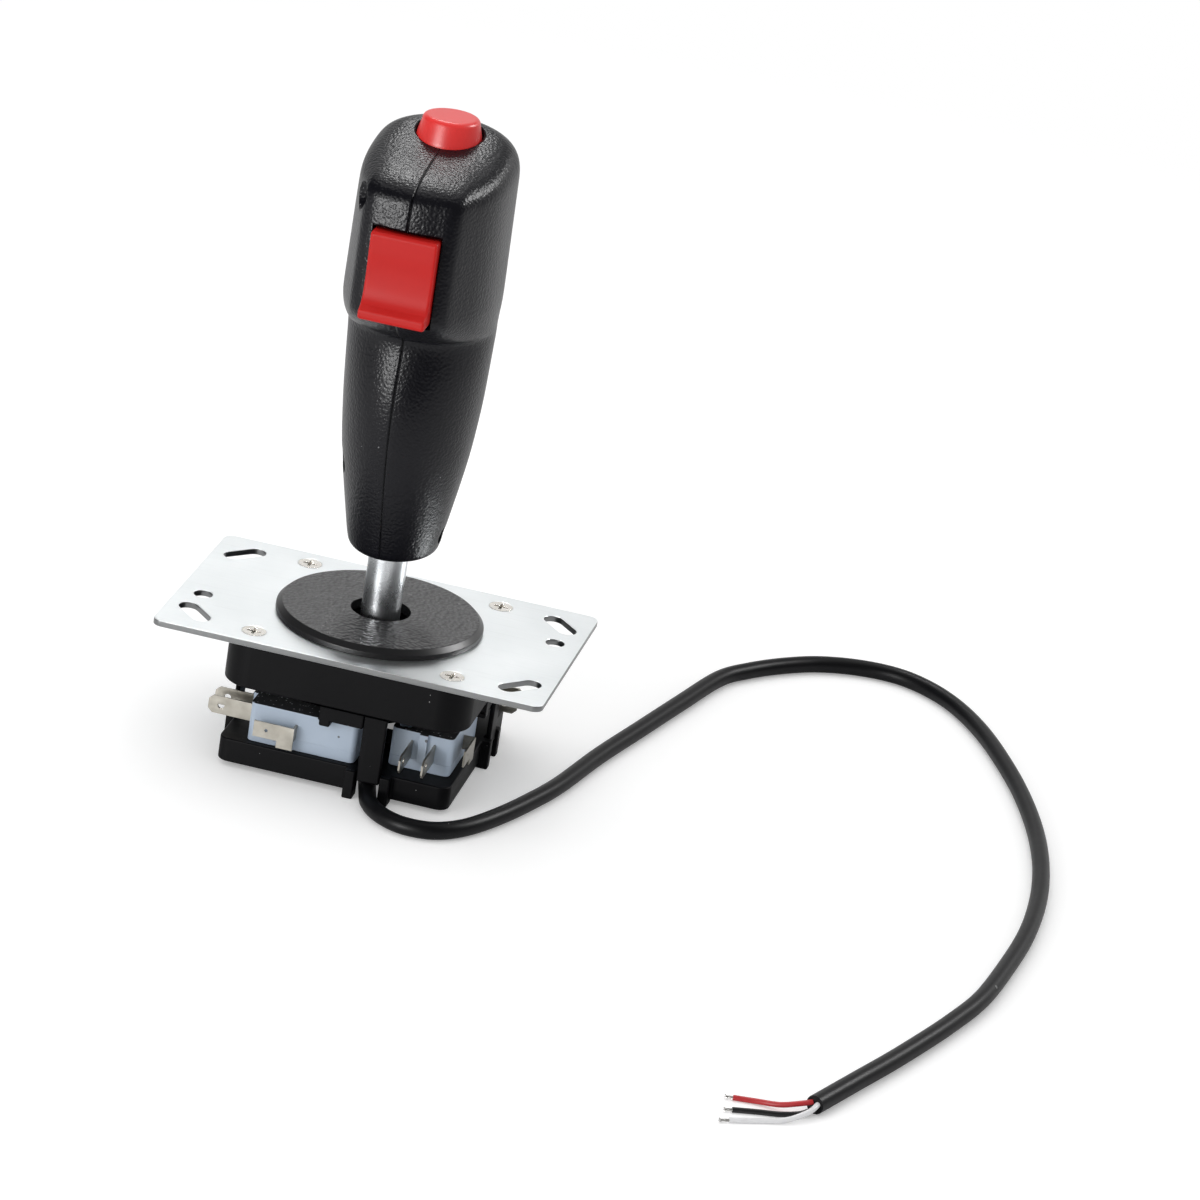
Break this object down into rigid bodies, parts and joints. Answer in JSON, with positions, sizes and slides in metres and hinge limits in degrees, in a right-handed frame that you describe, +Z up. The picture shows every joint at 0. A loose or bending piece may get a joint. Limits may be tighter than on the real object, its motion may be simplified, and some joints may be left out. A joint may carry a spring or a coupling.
{
  "type": "arcade flight joystick",
  "caption": "Panel-mount arcade joystick: pistol grip with thumb button and trigger on a plated shaft, over a mounting plate, dust washer and snap-switch base with a trailing cable.",
  "frame": {"origin": "centre of the mounting plate's top face, on the shaft's axis, midway between the two round panel holes", "axes": "+Z up the shaft, -Y the way the trigger and nose face, +X along the long side of the plate"},
  "size_m": [0.2285, 0.2782, 0.1683],
  "materials": {
    "zinc_plate": "zinc plated sheet, faintly scratched",
    "nickel_screw": "nickel plated",
    "washer_plastic": "pebbled",
    "housing_plastic": "matte moulding",
    "tray_plastic": "matte moulding",
    "switch_plastic": "satin moulding",
    "cover_plastic": "satin moulding",
    "tinned_tab": "tinned",
    "plunger_plastic": "smooth",
    "plated_shaft": "bright plated tube",
    "ball_plastic": "smooth",
    "pin_steel": "turned",
    "spring_steel": "drawn wire",
    "actuator_plastic": "smooth",
    "ring_steel": "blackened",
    "grip_plastic": "spark-textured moulding",
    "grip_screw_steel": "blackened",
    "button_plastic": "satin moulding",
    "trigger_plastic": "satin moulding",
    "mini_switch_plastic": "satin moulding",
    "cable_sheath": "smooth sheath",
    "red_core": "smooth insulation",
    "black_core": "smooth insulation",
    "white_core": "smooth insulation"
  },
  "bodies": {
    "base": {"mounting_plate": "zinc_plate", "plate_screws": "nickel_screw", "dust_washer": "washer_plastic", "upper_housing": "housing_plastic", "lower_tray": "tray_plastic", "case_front": "switch_plastic", "case_right": "switch_plastic", "case_back": "switch_plastic", "case_left": "switch_plastic", "cover_front": "cover_plastic", "cover_right": "cover_plastic", "cover_back": "cover_plastic", "cover_left": "cover_plastic", "tabs_front": "tinned_tab", "tabs_right": "tinned_tab", "tabs_back": "tinned_tab", "tabs_left": "tinned_tab", "centring_spring": "spring_steel", "cable": "cable_sheath", "core_red": "red_core", "core_black": "black_core", "core_white": "white_core"},
    "pivot_pins": {"pivot_pins": "pin_steel"},
    "stick": {"shaft": "plated_shaft", "pivot_ball": "ball_plastic", "actuator": "actuator_plastic", "retaining_ring": "ring_steel", "grip_left": "grip_plastic", "grip_right": "grip_plastic", "grip_screws": "grip_screw_steel", "set_screw": "grip_screw_steel", "thumb_switch": "mini_switch_plastic", "thumb_spring": "spring_steel", "trigger_pin": "pin_steel", "trigger_spring": "spring_steel", "trigger_switch": "mini_switch_plastic", "grip_lead": "cable_sheath"},
    "thumb_button": {"thumb_button": "button_plastic"},
    "trigger": {"trigger": "trigger_plastic"},
    "plunger_front": {"plunger_front": "plunger_plastic"},
    "plunger_right": {"plunger_right": "plunger_plastic"},
    "plunger_back": {"plunger_back": "plunger_plastic"},
    "plunger_left": {"plunger_left": "plunger_plastic"}
  },
  "joints": [
    {"name": "side_tilt", "type": "hinge", "parent": "base", "child": "pivot_pins", "pos_m": [0, 0, -0.007], "axis": [0, 1, 0], "range_deg": [-9, 9], "stiffness_Nm_per_rad": 1.2, "deforming": ["centring_spring"]},
    {"name": "fore_tilt", "type": "hinge", "parent": "pivot_pins", "child": "stick", "pos_m": [0, 0, -0.007], "axis": [1, 0, 0], "range_deg": [-9, 9], "stiffness_Nm_per_rad": 1.2, "deforming": ["centring_spring"]},
    {"name": "thumb_press", "type": "slide", "parent": "stick", "child": "thumb_button", "axis": [0, 0, -1], "range_m": [0, 0.0022], "stiffness_N_per_m": 900, "springref_m": -0.0015, "deforming": ["thumb_spring"]},
    {"name": "trigger_pull", "type": "hinge", "parent": "stick", "child": "trigger", "pos_m": [0, -0.028, 0.1083], "axis": [1, 0, 0], "range_deg": [0, 8], "stiffness_Nm_per_rad": 0.12, "springref_deg": -5.73, "deforming": ["trigger_spring"]},
    {"name": "plunger_front_press", "type": "slide", "parent": "base", "child": "plunger_front", "axis": [0, -1, 0], "range_m": [0, 0.0006], "stiffness_N_per_m": 1500, "springref_m": -0.0005},
    {"name": "plunger_right_press", "type": "slide", "parent": "base", "child": "plunger_right", "axis": [1, 0, 0], "range_m": [0, 0.0006], "stiffness_N_per_m": 1500, "springref_m": -0.0005},
    {"name": "plunger_back_press", "type": "slide", "parent": "base", "child": "plunger_back", "axis": [0, 1, 0], "range_m": [0, 0.0006], "stiffness_N_per_m": 1500, "springref_m": -0.0005},
    {"name": "plunger_left_press", "type": "slide", "parent": "base", "child": "plunger_left", "axis": [-1, 0, 0], "range_m": [0, 0.0006], "stiffness_N_per_m": 1500, "springref_m": -0.0005}
  ]
}
